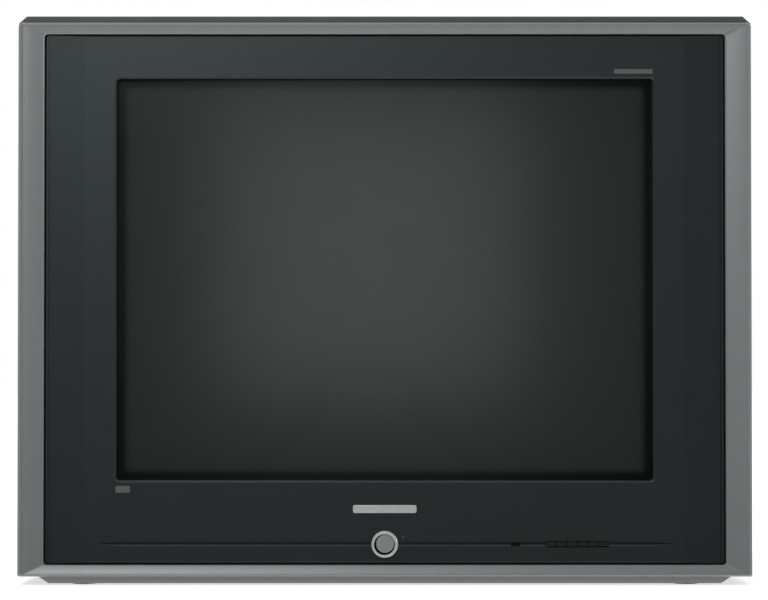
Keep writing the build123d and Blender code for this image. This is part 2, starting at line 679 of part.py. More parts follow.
def anode_cap():
    seat = anode_place()
    profile = Polyline((0, 0.3), (30, 0.3), (31, 1.6), (14, 7), (11, 13), (0, 13), close=True)
    dome = revolve(Plane.XZ * make_face(profile), Axis.Z)
    spout = Pos(17, 0, 9) * Rot(0, 90, 0) * Cylinder(4.2, 22)
    return seat * (dome + spout)


def eht_lead():
    """High-tension lead from the anode cap, round the tube's right side, to the flyback transformer."""
    start = anode_place().from_local_coords(Vector(28.0, 0, 9))
    points = [tuple(start), (150, start.Y, start.Z), (214, -44, 400), (214, -14, 210), (140, 24, 140),
              (FLYBACK_X + 2, FLYBACK_Y, 150), (FLYBACK_X + 2, FLYBACK_Y, FLYBACK_TOP_Z)]
    return lead(points, [40, 60, 60, 30, 14], 2.4)


def degaussing_coil():
    coil_y = -125.0
    loop = RectangleRounded(2 * 303, 2 * 236, 62).wire()
    path = Plane((0, coil_y, TUBE_Z), x_dir=(1, 0, 0), z_dir=(0, -1, 0)) * loop
    start = Plane(origin=path @ 0, z_dir=path % 0)
    return sweep(start * Circle(5), path=path)


def ground_braid():
    """Earthing braid from one lower ear, under the tube's cone, to the other."""
    low = TUBE_Z - EAR_Z
    half = [(-321, EAR_Y + EAR_THICKNESS, low - 8), (-321, -150, low - 8), (-300, -108, low),
            (-224, -82, low + 58), (-110, -22, low + 122)]
    points = half + [(-x, y, z) for x, y, z in reversed(half)]
    return lead(points, [18, 25, 40, 40, 40, 40, 25, 18], 1.6)


# ---------------------------------------------------------------- deflection yoke
def quarter_windows(solid, along_x):
    """Split a yoke winding into two saddles and open the window in the middle of each."""
    reach = 100.0
    if along_x:
        gap = block(-1, 1, 0, 110, TUBE_Z - reach, TUBE_Z + reach)
        window = block(-reach, reach, 32, 76, TUBE_Z - 9, TUBE_Z + 9)
    else:
        gap = block(-reach, reach, 0, 110, TUBE_Z - 1, TUBE_Z + 1)
        window = block(-9, 9, 32, 76, TUBE_Z - reach, TUBE_Z + reach)
    return solid - gap - window


def horizontal_coils():
    winding = turned([(18, 69), (35, 41), (55, 22.6), (66, 17.8), (88, 16), (88, 20), (66, 22), (55, 27),
                      (35, 46), (18, 74)])
    return quarter_windows(winding, False)


def yoke_former():
    return turned([(14, 78), (18, 74.4), (35, 46.4), (55, 27.4), (66, 22.4), (88.3, 20.4), (88.3, 14.8),
                   (96, 14.8), (96, 17), (90.8, 17), (90.8, 22.9), (66, 24.9), (55, 29.9), (35, 49.2),
                   (17.6, 79), (17, 88), (14, 88)])


def vertical_coils():
    winding = turned([(22, 72), (35, 49.7), (55, 30.4), (66, 25.4), (84, 24), (84, 30), (66, 31), (55, 36),
                      (35, 55), (22, 78)])
    return quarter_windows(winding, True)


def yoke_core():
    ring = turned([(26, 71.6), (35, 55.6), (55, 36.6), (66, 31.5), (76, 31.2), (76, 42), (60, 47), (40, 63),
                   (26, 85)])
    return ring - block(-100, 100, 20, 80, TUBE_Z - 0.2, TUBE_Z + 0.2)


def yoke_clamp():
    band = pipe(0, TUBE_Z, 18.4, 17, 91.4, 95.4)
    for x in (-2.6, 1.4):
        band += block(x, x + 1.2, 91.4, 95.4, TUBE_Z + 17.4, TUBE_Z + 25)
    band -= block(-1.4, 1.4, 90, 97, TUBE_Z + 16, TUBE_Z + 26)
    screw = Pos(0, 93.4, TUBE_Z + 22) * Rot(0, 90, 0) * Cylinder(1.2, 14)
    return [band - screw, screw]


def magnet_holder():
    sleeve = pipe(0, TUBE_Z, SLEEVE_R, NECK_R + 0.1, 97.5, 138)
    sleeve += pipe(0, TUBE_Z, RING_R, SLEEVE_R - 0.5, 97.5, 99.6)
    for angle in range(0, 360, 60):
        sleeve -= Pos(0, 0, TUBE_Z) * Rot(0, angle, 0) * Pos(0, 135, 16) * Box(1.6, 8, 6)
    spacers = [pipe(0, TUBE_Z, 22, SLEEVE_R, y, y + SPACER_THICKNESS) for y in SPACER_Y]
    return [sleeve] + spacers


def magnet_ring(y, angle):
    """Thin magnet ring with two tabs to turn it by."""
    ring = pipe(0, TUBE_Z, RING_R, SLEEVE_R + RING_CLEARANCE, y, y + RING_THICKNESS)
    for turn in (angle, angle + 180):
        tab = Pos(0, y + RING_THICKNESS / 2, RING_R + 2.5) * Box(5, RING_THICKNESS, 7)
        ring += Pos(0, 0, TUBE_Z) * Rot(0, turn, 0) * tab
    return ring


def magnet_lock_ring():
    y1 = LOCK_RING_Y + LOCK_RING_LENGTH
    ring = pipe(0, TUBE_Z, 23, SLEEVE_R + RING_CLEARANCE, LOCK_RING_Y, y1)
    notches = [Pos(0, 0, TUBE_Z) * Rot(0, 30 * index, 0) * Pos(0, (LOCK_RING_Y + y1) / 2, 23) * Box(3, 8, 2.4)
               for index in range(12)]
    return ring - notches


def crt_socket():
    y0 = NECK_REAR_Y + 5.5
    body = rod(0, TUBE_Z, 22, y0, y0 + 9)
    body += block(14, 34, y0, y0 + 9, TUBE_Z - 9, TUBE_Z + 9)
    body -= rod(0, TUBE_Z, 4.4, y0 - 1, y0 + 10)
    body -= [rod(x, z, 0.75, y0 - 1, y0 + 10) for x, z in pin_places()]
    return body


def neck_board():
    y0 = NECK_REAR_Y + 14.5
    board = block(-48, 48, y0, y0 + BOARD_THICKNESS, TUBE_Z - 46, TUBE_Z + 42)
    board -= rod(0, TUBE_Z, 9, y0 - 1, y0 + 3)
    back = y0 + BOARD_THICKNESS
    parts = [board]
    for x in (-30, 0, 30):
        parts.append(block(x - 8, x + 8, back, back + 18, TUBE_Z + 22, TUBE_Z + 25))
    for x, z in ((-34, -10), (-34, -30), (34, -28), (18, -34)):
        parts.append(rod(x, TUBE_Z + z, 5, back, back + 13))
    return parts


# ---------------------------------------------------------------- chassis
def chassis_frame():
    outer = block(-CHASSIS_HALF_W, CHASSIS_HALF_W, CHASSIS_FRONT_Y, CHASSIS_REAR_Y, FLOOR_Z, BOARD_Z)
    bay = CHASSIS_HALF_W - 8
    frame = outer
    for y0, y1 in ((CHASSIS_FRONT_Y + 8, 78), (86, CHASSIS_REAR_Y - 8)):
        frame -= block(-bay, -4, y0, y1, FLOOR_Z - 1, BOARD_Z + 1)
        frame -= block(4, bay, y0, y1, FLOOR_Z - 1, BOARD_Z + 1)
    for side in (-1, 1):
        xs = sorted((side * (CHASSIS_HALF_W - 8), side * CHASSIS_HALF_W))
        frame += block(*xs, PARTING_Y - 26, CHASSIS_FRONT_Y + 2, FLOOR_Z, FLOOR_Z + 10)
        frame += block(*xs, PARTING_Y - 26, PARTING_Y - 4, FOOT_HEIGHT + WALL, FLOOR_Z + 1)
    return frame


def main_board():
    half_w = CHASSIS_HALF_W - 3
    return block(-half_w, half_w, CHASSIS_FRONT_Y + 2, CHASSIS_REAR_Y - 2, BOARD_Z, BOARD_TOP_Z)


def flyback_transformer():
    body = block(FLYBACK_X - 22, FLYBACK_X + 22, FLYBACK_Y - 22, FLYBACK_Y + 22, BOARD_TOP_Z, 96)
    body = fillet(body.edges().filter_by(Axis.Z), 6)
    body += post(FLYBACK_X + 2, FLYBACK_Y, 9, 95, FLYBACK_TOP_Z)
    body += block(FLYBACK_X - 12, FLYBACK_X + 12, FLYBACK_Y + 21, KNOB_Y - 0.4, 54, 90)
    for z in KNOB_Z.values():
        body -= rod(FLYBACK_X, z, 2.55, KNOB_Y - 7, KNOB_Y)
    core = block(FLYBACK_X - 40, FLYBACK_X - 22, FLYBACK_Y - 8, FLYBACK_Y + 8, 34, 92)
    core += block(FLYBACK_X - 40, FLYBACK_X, FLYBACK_Y - 8, FLYBACK_Y + 8, 78, 92)
    core += block(FLYBACK_X - 40, FLYBACK_X, FLYBACK_Y - 8, FLYBACK_Y + 8, 34, 48)
    return [body - core, core]


def adjusting_knob(z):
    """Knob of a preset on the flyback transformer, with a shaft into it and a slot for a screwdriver."""
    knob = rod(FLYBACK_X, z, 5.2, KNOB_Y, KNOB_Y + 9) + rod(FLYBACK_X, z, 2.5, KNOB_Y - 6, KNOB_Y + 1)
    knob -= block(FLYBACK_X - 6, FLYBACK_X + 6, KNOB_Y + 7.6, KNOB_Y + 10, z - 0.6, z + 0.6)
    return knob


def heat_sink(x0, x1, y, height):
    """Aluminium plate with fins."""
    sink = block(x0, x1, y, y + 2.5, BOARD_TOP_Z, BOARD_TOP_Z + height)
    count = int((x1 - x0) // 9)
    for index in range(count + 1):
        x = x0 + (x1 - x0 - 1.6) * index / count
        sink += block(x, x + 1.6, y + 2, y + 14, BOARD_TOP_Z + 4, BOARD_TOP_Z + height)
    return sink


def heat_sinks():
    return [heat_sink(-130, -40, 40, 62), heat_sink(-60, 10, 118, 50), heat_sink(120, 165, -10, 48)]


def board_components():
    parts = []
    core = block(96, 146, 118, 168, BOARD_TOP_Z + 6, BOARD_TOP_Z + 44)
    bobbin = block(104, 138, 110, 176, BOARD_TOP_Z, BOARD_TOP_Z + 50) - core
    parts += [core, bobbin]
    parts.append(post(58, 150, 17.5, BOARD_TOP_Z, BOARD_TOP_Z + 48))
    capacitors = ((20, 60, 8, 32), (20, 84, 8, 32), (-20, 20, 6.5, 25), (-2, 20, 6.5, 25), (-150, 100, 5, 20),
                  (-150, 116, 5, 20), (-120, 130, 6.5, 25), (150, 60, 5, 16), (60, 205, 6.5, 22))
    for x, y, r, height in capacitors:
        parts.append(post(x, y, r, BOARD_TOP_Z, BOARD_TOP_Z + height))
    for x, y, length in ((-110, 0, 46), (-60, -34, 52), (30, -30, 30)):
        parts.append(block(x, x + length, y, y + 16, BOARD_TOP_Z + 1, BOARD_TOP_Z + 5))
    parts.append(block(118, 154, 196, 222, BOARD_TOP_Z, BOARD_TOP_Z + 30))
    return parts


def tuner():
    """Screened can with the aerial barrel, whose inner end is closed by the contact's insulator."""
    face = TERMINAL_Y - 2
    can = block(AERIAL_X - 24, AERIAL_X + 26, 172, face, BOARD_TOP_Z, 66)
    barrel = pipe(AERIAL_X, AERIAL_Z, AERIAL_R, 3.4, face, face + AERIAL_LENGTH)
    barrel += pipe(AERIAL_X, AERIAL_Z, 6.4, AERIAL_R, face, face + 1)
    barrel += rod(AERIAL_X, AERIAL_Z, AERIAL_R, face, face + AERIAL_FLOOR)
    contact = rod(AERIAL_X, AERIAL_Z, 1.2, face + AERIAL_FLOOR, face + 8)
    return [can, barrel, contact]


def av_jack_block():
    """Block of six phono jacks. Each is a sleeve round an insulator with the bore for the plug's pin."""
    body = block(JACK_X[0] - 13, JACK_X[-1] + 13, 204, TERMINAL_Y, BOARD_TOP_Z, JACK_Z[-1] + 13)
    parts = [body]
    rim = TERMINAL_Y + JACK_LENGTH
    insulator = rim - 0.6
    for x in JACK_X:
        for z in JACK_Z:
            parts.append(turned([(TERMINAL_Y, JACK_BORE_R), (TERMINAL_Y, JACK_R), (rim, JACK_R),
                                 (rim, JACK_SLEEVE_R), (insulator, JACK_SLEEVE_R),
                                 (insulator, JACK_BORE_R)], x, z))
    return parts


def cord_gland():
    """Bush that the mains lead leaves the cover through."""
    bush = pipe(GLAND_X, GLAND_Z, 10, GLAND_BORE_R, GLAND_Y, GLAND_Y + 3)
    bush += pipe(GLAND_X, GLAND_Z, GLAND_WAIST_R, GLAND_BORE_R, GLAND_Y - 6, GLAND_Y + 1)
    bush += pipe(GLAND_X, GLAND_Z, 8.6, GLAND_BORE_R, GLAND_Y - 6, GLAND_Y - 2.6)
    return bush


def side_section(x, half_y, half_z, r):
    """Rounded rectangle round a speaker's axis, across X."""
    face = Plane((x, SPEAKER_Y, SPEAKER_Z), x_dir=(0, 1, 0), z_dir=(1, 0, 0))
    return face * RectangleRounded(2 * half_y, 2 * half_z, r)


def speaker(side):
    """Oval speaker: steel basket with its mounting plate, paper cone and magnet."""
    def across(sections):
        return loft([side_section(side * x, *values) for x, *values in sections], ruled=True)
    rim = across([(SIDE_X - WALL - 1.6, SPEAKER_HALF_Y, SPEAKER_HALF_Z, 20),
                  (SIDE_X - WALL - 0.1, SPEAKER_HALF_Y, SPEAKER_HALF_Z, 20)])
    basket = across([(340, 16, 26, 14), (SIDE_X - WALL - 1.5, 23, 58, 20)])
    hollow = across([(341.2, 15, 25, 13), (SIDE_X - WALL + 1, 22.2, 57.2, 19.2)])
    frame = rim + basket - hollow
    cone_outer = across([(343, 9, 14, 8), (SIDE_X - WALL - 3, 21, 55, 18)])
    cone_inner = across([(342.4, 8.4, 13.4, 7.4), (SIDE_X - WALL - 2.4, 20.4, 54.4, 17.4)])
    cap = Pos(side * 343.6, SPEAKER_Y, SPEAKER_Z) * Rot(0, 90, 0) * Cylinder(8.2, 1.2)
    cone = cone_outer - cone_inner + cap
    magnet = Pos(side * 333, SPEAKER_Y, SPEAKER_Z) * Rot(0, 90, 0) * Cylinder(24, 14)
    return [frame, cone, magnet]


def rear_cover_screws():
    seats = [(side * COVER_SCREW_X, z) for side in (-1, 1) for z in COVER_SCREW_SIDE_Z]
    seats += [(x, COVER_SCREW_TOP_Z) for x in COVER_SCREW_TOP_X]
    screws = []
    for x, z in seats:
        head = rod(x, z, 4.4, LEDGE_Y, LEDGE_Y + 2.6)
        head -= block(x - 3, x + 3, LEDGE_Y + 1.4, LEDGE_Y + 3, z - 0.5, z + 0.5)
        head -= block(x - 0.5, x + 0.5, LEDGE_Y + 1.4, LEDGE_Y + 3, z - 3, z + 3)
        screws.append(head + rod(x, z, COVER_SCREW_R, LEDGE_Y - 26, LEDGE_Y + 1))
    return screws


# ---------------------------------------------------------------- writing the parts
def save(name, pieces):
    """Write one sub-part, a single solid or a group of separate ones."""
    group = pieces if isinstance(pieces, list) else [pieces]
    solids = [solid for piece in group for solid in piece.solids()]
    shape = solids[0] if len(solids) == 1 else Compound(solids)
    export_step(shape, f"parts/{name}.step")


def main():
    os.makedirs("parts", exist_ok=True)
    single = (
        trim_frame, bezel_panel, front_cabinet, rear_cover, feet, name_badge, power_button_ring, power_button,
        power_switch, ir_window, standby_led, control_board, crt_faceplate, crt_funnel, crt_neck, crt_base,
        implosion_band, crt_screws, shadow_mask, mask_frame, inner_shield, electron_gun, anode_cap, eht_lead,
        degaussing_coil, ground_braid, horizontal_coils, yoke_former, vertical_coils, yoke_core, yoke_clamp,
        magnet_holder, magnet_lock_ring, crt_socket, neck_board, chassis_frame, main_board,
        flyback_transformer, heat_sinks, board_components, tuner, av_jack_block, cord_gland, rear_cover_screws,
    )
    for make in single:
        save(make.__name__, make())
    for index, name in enumerate(KEY_NAMES):
        save(name, key(index))
    for name, (y, angle) in RINGS.items():
        save(name, magnet_ring(y, angle))
    for name, z in KNOB_Z.items():
        save(name, adjusting_knob(z))
    for name, side in (("speaker_left", -1), ("speaker_right", 1)):
        save(name, speaker(side))


main()
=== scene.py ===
import json
import math

import bmesh
import bpy
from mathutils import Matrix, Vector


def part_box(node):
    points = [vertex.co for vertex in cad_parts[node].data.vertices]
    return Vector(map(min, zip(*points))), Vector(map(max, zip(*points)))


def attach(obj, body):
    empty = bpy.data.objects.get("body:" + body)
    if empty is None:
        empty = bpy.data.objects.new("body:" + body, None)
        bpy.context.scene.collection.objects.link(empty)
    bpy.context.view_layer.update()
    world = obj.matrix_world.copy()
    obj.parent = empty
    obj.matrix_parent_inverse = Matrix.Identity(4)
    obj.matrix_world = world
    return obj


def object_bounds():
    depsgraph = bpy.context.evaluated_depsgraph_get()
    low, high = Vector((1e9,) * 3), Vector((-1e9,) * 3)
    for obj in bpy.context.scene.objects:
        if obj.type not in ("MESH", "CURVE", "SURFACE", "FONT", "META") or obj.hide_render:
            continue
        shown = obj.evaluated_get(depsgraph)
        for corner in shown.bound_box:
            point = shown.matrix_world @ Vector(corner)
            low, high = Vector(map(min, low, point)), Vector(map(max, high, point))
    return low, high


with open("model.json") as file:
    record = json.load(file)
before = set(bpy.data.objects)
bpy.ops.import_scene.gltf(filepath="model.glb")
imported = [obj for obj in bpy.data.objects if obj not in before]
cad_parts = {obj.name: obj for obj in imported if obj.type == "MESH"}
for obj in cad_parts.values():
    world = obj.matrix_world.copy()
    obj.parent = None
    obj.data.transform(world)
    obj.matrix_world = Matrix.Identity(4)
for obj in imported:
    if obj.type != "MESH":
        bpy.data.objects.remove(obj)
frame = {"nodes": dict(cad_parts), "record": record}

# Looks of a flat-faced television receiver around its fixed CAD parts.
# Lengths are in metres, the screen faces -Y and Z is up.

CAD_LOW, CAD_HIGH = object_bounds()
ROOT = "receiver"
MM = 0.001
PANEL_FACE_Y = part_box("bezel_panel")[0].y
TUBE_Z = (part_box("crt_faceplate")[0].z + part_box("crt_faceplate")[1].z) / 2
SCREEN_HALF_W = 270.4 * MM
SCREEN_HALF_H = 202.7 * MM
SCREEN_CORNER = 14 * MM

# The phono jacks: rows by height, columns by place, and the coloured ring round each barrel.
JACK_LENGTH = 9.5 * MM
JACK_ROWS = (("upper", 74 * MM), ("lower", 50 * MM))
JACK_COLUMNS = (-88 * MM, -110 * MM, -132 * MM)
JACK_RING_OUTER = 7.2 * MM
JACK_RING_INNER = 4.25 * MM
JACK_RING_THICKNESS = 1.2 * MM

# Blank printed marks: name, centre across and up, half width, half height.
PRINTED_MARKS = (
    ("feature_mark", 250.8 * MM, 517.6 * MM, 19.5 * MM, 2.3 * MM),
    ("corner_mark", -263.6 * MM, 96.3 * MM, 7.2 * MM, 3.4 * MM),
)
MARK_THICKNESS = 0.12 * MM
MARK_CORNER = 0.8 * MM

# Sizes of the slow drifts of colour and the patches of gloss on moulded plastic.
DRIFT_SIZE = 60 * MM
PATCH_SIZE = 14 * MM

# Brightness of the studio's parts.
SIDE_LIGHT = 0.55
TABLE_LIGHT = 0.7
CEILING_LIGHT = 0.4
FRONT_LIGHT = 0.06
FLOOR_GLOW = 0.5
FLOOR_SIZE = 40

# Soft boxes: name, location, side, watts, target.
SOFT_BOXES = (
    ("key", (-0.55, -2.35, 1.3), 0.8, 14, (0, -0.25, 0.3)),
    ("front_box", (-0.04, -5.2, 0.54), 0.8, 2.55, (0, -0.25, 0.3)),
    ("top", (-0.5, -0.2, 2.2), 1.6, 8, (0, -0.2, 0.2)),
    ("right_fill", (1.9, -1.5, 0.7), 0.9, 5, (0.3, -0.25, 0.3)),
)

# The camera aims at a point on the front's plane, and its frame is this wide there.
CAMERA_DISTANCE = 3.0
CAMERA_PITCH = math.radians(1.3)
CAMERA_AIM_X = -0.75 * MM
CAMERA_AIM_Z = 286.7 * MM
FRAME_WIDTH = 772.6 * MM
SENSOR_WIDTH = 36.0

# Sockets of a Mix node that blends colours, which share their names with its other sockets.
MIX_SHARE = 0
MIX_FIRST = 6
MIX_SECOND = 7
MIX_COLOUR = 2
# A Wave texture of scale 1 has bands this far apart.
WAVE_PERIOD = 0.314


# ------------------------------------------------------------------ node helpers
def new_material(name):
    """Material with a Principled shader, and the shader and tree to build on."""
    made = bpy.data.materials.new(name)
    made.use_nodes = True
    tree = made.node_tree
    tree.nodes.clear()
    output = tree.nodes.new("ShaderNodeOutputMaterial")
    shader = tree.nodes.new("ShaderNodeBsdfPrincipled")
    tree.links.new(shader.outputs["BSDF"], output.inputs["Surface"])
    return made, tree, shader


def place(tree, stretch=(1, 1, 1)):
    """Object coordinates, scaled by stretch."""
    coordinates = tree.nodes.new("ShaderNodeTexCoord")
    mapping = tree.nodes.new("ShaderNodeMapping")
    mapping.inputs["Scale"].default_value = stretch
    tree.links.new(coordinates.outputs["Object"], mapping.inputs["Vector"])
    return mapping.outputs["Vector"]


def noise(tree, where, size, detail=2.0, roughness=0.5):
    """Noise from 0 to 1 with features of about this size."""
    node = tree.nodes.new("ShaderNodeTexNoise")
    node.inputs["Scale"].default_value = 1 / size
    node.inputs["Detail"].default_value = detail
    node.inputs["Roughness"].default_value = roughness
    tree.links.new(where, node.inputs["Vector"])
    return node.outputs["Fac"]


def cells(tree, where, size):
    """Random value per small cell, from 0 to 1."""
    node = tree.nodes.new("ShaderNodeTexVoronoi")
    node.inputs["Scale"].default_value = 1 / size
    tree.links.new(where, node.inputs["Vector"])
    return node.outputs["Color"]


def bands(tree, where, size, axis="X", distortion=0.0):
    """Smooth stripes of this period across one axis."""
    node = tree.nodes.new("ShaderNodeTexWave")
    node.bands_direction = axis
    node.inputs["Scale"].default_value = WAVE_PERIOD / size
    node.inputs["Distortion"].default_value = distortion
    tree.links.new(where, node.inputs["Vector"])
    return node.outputs["Fac"]


def remap(tree, value, low, high, from_low=0.0, from_high=1.0):
    """Value moved from one range into another."""
    node = tree.nodes.new("ShaderNodeMapRange")
    node.inputs["From Min"].default_value = from_low
    node.inputs["From Max"].default_value = from_high
    node.inputs["To Min"].default_value = low
    node.inputs["To Max"].default_value = high
    tree.links.new(value, node.inputs["Value"])
    return node.outputs["Result"]


def blend_colours(tree, share, first, second):
    """Colour between two, by a share from 0 to 1."""
    node = tree.nodes.new("ShaderNodeMix")
    node.data_type = "RGBA"
    for socket, colour in ((node.inputs[MIX_FIRST], first), (node.inputs[MIX_SECOND], second)):
        if isinstance(colour, tuple):
            socket.default_value = (*colour, 1)
        else:
            tree.links.new(colour, socket)
    tree.links.new(share, node.inputs[MIX_SHARE])
    return node.outputs[MIX_COLOUR]


def arithmetic(tree, operation, first, second=0.0):
    """One Math node on one or two values."""
    node = tree.nodes.new("ShaderNodeMath")
    node.operation = operation
    for socket, value in zip(node.inputs, (first, second)):
        if isinstance(value, (int, float)):
            socket.default_value = value
        else:
            tree.links.new(value, socket)
    return node.outputs[0]


def relief(tree, shader, height, depth):
    """Bump of this depth on the shader's normal."""
    node = tree.nodes.new("ShaderNodeBump")
    node.inputs["Distance"].default_value = depth
    tree.links.new(height, node.inputs["Height"])
    tree.links.new(node.outputs["Normal"], shader.inputs["Normal"])


def shade(colour, factor):
    """Colour made lighter or darker by a factor."""
    return tuple(min(1.0, channel * factor) for channel in colour)


# ------------------------------------------------------------------ materials
def moulded_plastic(name, colour, roughness, grain=0.7 * MM, depth=0.05 * MM, mottle=0.08,
                    tint=(1, 1, 1)):
    """Plastic from a spark-eroded mould: fine pits, and slow drifts of colour and gloss."""
    made, tree, shader = new_material(name)
    where = place(tree)
    drift = noise(tree, where, DRIFT_SIZE, 3)
    base = blend_colours(tree, drift, shade(colour, 1 - mottle), shade(colour, 1 + mottle))
    tree.links.new(base, shader.inputs["Base Color"])
    patches = noise(tree, where, PATCH_SIZE, 4)
    gloss = remap(tree, patches, roughness - 0.05, roughness + 0.05)
    tree.links.new(gloss, shader.inputs["Roughness"])
    shader.inputs["Specular Tint"].default_value = (*tint, 1)
    relief(tree, shader, noise(tree, where, grain, 2), depth)
    return made


def silver_paint(name, colour, roughness=0.36, flake=0.35 * MM):
    """Silver paint on plastic: small flakes of different brightness under a thin clear layer."""
    made, tree, shader = new_material(name)
    where = place(tree)
    sparkle = cells(tree, where, flake)
    flakes = blend_colours(tree, sparkle, shade(colour, 0.9), shade(colour, 1.1))
    drift = noise(tree, where, 90 * MM, 2)
    base = blend_colours(tree, remap(tree, drift, 0.0, 0.3), flakes, shade(colour, 0.86))
    tree.links.new(base, shader.inputs["Base Color"])
    gloss = remap(tree, sparkle, roughness - 0.05, roughness + 0.05)
    tree.links.new(gloss, shader.inputs["Roughness"])
    shader.inputs["Metallic"].default_value = 0.35
    shader.inputs["Coat Weight"].default_value = 0.2
    shader.inputs["Coat Roughness"].default_value = 0.3
    relief(tree, shader, noise(tree, where, 1.6 * MM, 3), 0.02 * MM)
    return made


def two_tone_plastic_with_painted_light(name, body_colour, plinth_paint_and_light):
    """Moulded cabinet whose plinth, the lowest 8 to 10 mm, is lighter: part silver paint, part
    painted light that offsets the shade under the frame.
    """
    made, tree, shader = new_material(name)
    where = place(tree)
    split = tree.nodes.new("ShaderNodeSeparateXYZ")
    tree.links.new(where, split.inputs[0])
    upper = remap(tree, split.outputs["Z"], 0.0, 1.0, 8 * MM, 10 * MM)
    drift = noise(tree, where, DRIFT_SIZE, 3)
    # Painted light: the plinth is lighter than its silver paint would be, offsetting the shade
    # under the frame.
    plinth = blend_colours(tree, drift, shade(plinth_paint_and_light, 0.95), shade(plinth_paint_and_light, 1.05))
    body = blend_colours(tree, drift, shade(body_colour, 0.92), shade(body_colour, 1.08))
    tree.links.new(blend_colours(tree, upper, plinth, body), shader.inputs["Base Color"])
    patches = noise(tree, where, PATCH_SIZE, 4)
    tree.links.new(remap(tree, patches, 0.47, 0.57), shader.inputs["Roughness"])
    relief(tree, shader, noise(tree, where, 0.8 * MM, 2), 0.05 * MM)
    return made


def metal(name, colour, roughness, stretch=(1, 1, 1), grain=0.5 * MM):
    """Metal with fine scratches along one direction."""
    made, tree, shader = new_material(name)
    where = place(tree, stretch)
    lines = noise(tree, where, grain, 4)
    base = blend_colours(tree, lines, shade(colour, 0.86), shade(colour, 1.1))
    tree.links.new(base, shader.inputs["Base Color"])
    gloss = remap(tree, lines, roughness - 0.06, roughness + 0.08)
    tree.links.new(gloss, shader.inputs["Roughness"])
    shader.inputs["Metallic"].default_value = 1.0
    relief(tree, shader, lines, 0.01 * MM)
    return made


def rubber(name, colour, roughness=0.62):
    """Rubber with a cloudy bloom on its surface."""
    made, tree, shader = new_material(name)
    where = place(tree)
    bloom = noise(tree, where, 6 * MM, 5, 0.6)
    base = blend_colours(tree, bloom, shade(colour, 0.85), shade(colour, 1.25))
    tree.links.new(base, shader.inputs["Base Color"])
    gloss = remap(tree, bloom, roughness - 0.08, roughness + 0.08)
    tree.links.new(gloss, shader.inputs["Roughness"])
    relief(tree, shader, noise(tree, where, 0.4 * MM, 2), 0.02 * MM)
    return made


def edge_distance(tree, half_w, half_h, corner):
    """Distance inside a rounded rectangle round the tube's axis, from 0 on its outline."""
    coordinates = tree.nodes.new("ShaderNodeTexCoord")
    split = tree.nodes.new("ShaderNodeSeparateXYZ")
    tree.links.new(coordinates.outputs["Object"], split.inputs[0])
    across = arithmetic(tree, "ABSOLUTE", split.outputs["X"])
    up = arithmetic(tree, "ABSOLUTE", arithmetic(tree, "SUBTRACT", split.outputs["Z"], TUBE_Z))
    over_x = arithmetic(tree, "MAXIMUM", arithmetic(tree, "SUBTRACT", across, half_w - corner))
    over_z = arithmetic(tree, "MAXIMUM", arithmetic(tree, "SUBTRACT", up, half_h - corner))
    squares = arithmetic(tree, "ADD", arithmetic(tree, "MULTIPLY", over_x, over_x),
                         arithmetic(tree, "MULTIPLY", over_z, over_z))
    return arithmetic(tree, "SUBTRACT", corner, arithmetic(tree, "SQRT", squares))


def tube_face(name):
    """Tinted faceplate: grey phosphor seen through it, its black painted border, and painted shade
    that darkens the phosphor towards that border.
    """
    made, tree, shader = new_material(name)
    where = place(tree)
    border = 7 * MM
    shadow = 34 * MM
    inside = edge_distance(tree, SCREEN_HALF_W, SCREEN_HALF_H, SCREEN_CORNER)
    # Share of phosphor against the real black painted border, from 0 at the border to 1 inside it.
    lit = remap(tree, inside, 0.0, 1.0, border * 0.75, border * 1.35)
    # Painted shade: the phosphor's colour darkens over the 34 mm next to its border.
    edge_shade_share = remap(tree, inside, 0.0, 1.0, border, shadow)
    stripes = bands(tree, where, 0.8 * MM)
    phosphor = blend_colours(tree, stripes, (0.031, 0.0365, 0.034), (0.035, 0.041, 0.038))
    painted_edge_shade = blend_colours(tree, edge_shade_share, (0.008, 0.0095, 0.009), phosphor)
    base = blend_colours(tree, lit, (0.0012, 0.0014, 0.0014), painted_edge_shade)
    tree.links.new(base, shader.inputs["Base Color"])
    gloss = remap(tree, noise(tree, where, 30 * MM, 3), 0.13, 0.16)
    tree.links.new(gloss, shader.inputs["Roughness"])
    shader.inputs["IOR"].default_value = 1.52
    shader.inputs["Specular Tint"].default_value = (0.9, 1.0, 0.96, 1)
    return made


def graphite_glass(name):
    """Funnel painted with conductive graphite, brushed on by hand."""
    made, tree, shader = new_material(name)
    strokes = noise(tree, place(tree, (1, 0.25, 1)), 5 * MM, 5, 0.6)
    base = blend_colours(tree, strokes, (0.012, 0.012, 0.013), (0.032, 0.032, 0.034))
    tree.links.new(base, shader.inputs["Base Color"])
    tree.links.new(remap(tree, strokes, 0.55, 0.8), shader.inputs["Roughness"])
    relief(tree, shader, strokes, 0.08 * MM)
    return made


def clear_glass(name, tint):
    """Glass that shows what is behind it."""
    made, tree, shader = new_material(name)
    where = place(tree)
    base = blend_colours(tree, noise(tree, where, 12 * MM, 2), shade(tint, 0.92), tint)
    tree.links.new(base, shader.inputs["Base Color"])
    shader.inputs["Transmission Weight"].default_value = 0.85
    shader.inputs["IOR"].default_value = 1.52
    gloss = remap(tree, noise(tree, where, 9 * MM, 2), 0.03, 0.07)
    tree.links.new(gloss, shader.inputs["Roughness"])
    return made


def wound_wire(name, colour):
    """Enamelled wire of 0.6 mm lying side by side."""
    made, tree, shader = new_material(name)
    turns = bands(tree, place(tree), 0.6 * MM, distortion=0.6)
    base = blend_colours(tree, turns, shade(colour, 0.45), colour)
    tree.links.new(base, shader.inputs["Base Color"])
    shader.inputs["Metallic"].default_value = 0.6
    tree.links.new(remap(tree, turns, 0.45, 0.28), shader.inputs["Roughness"])
    relief(tree, shader, turns, 0.25 * MM)
    return made


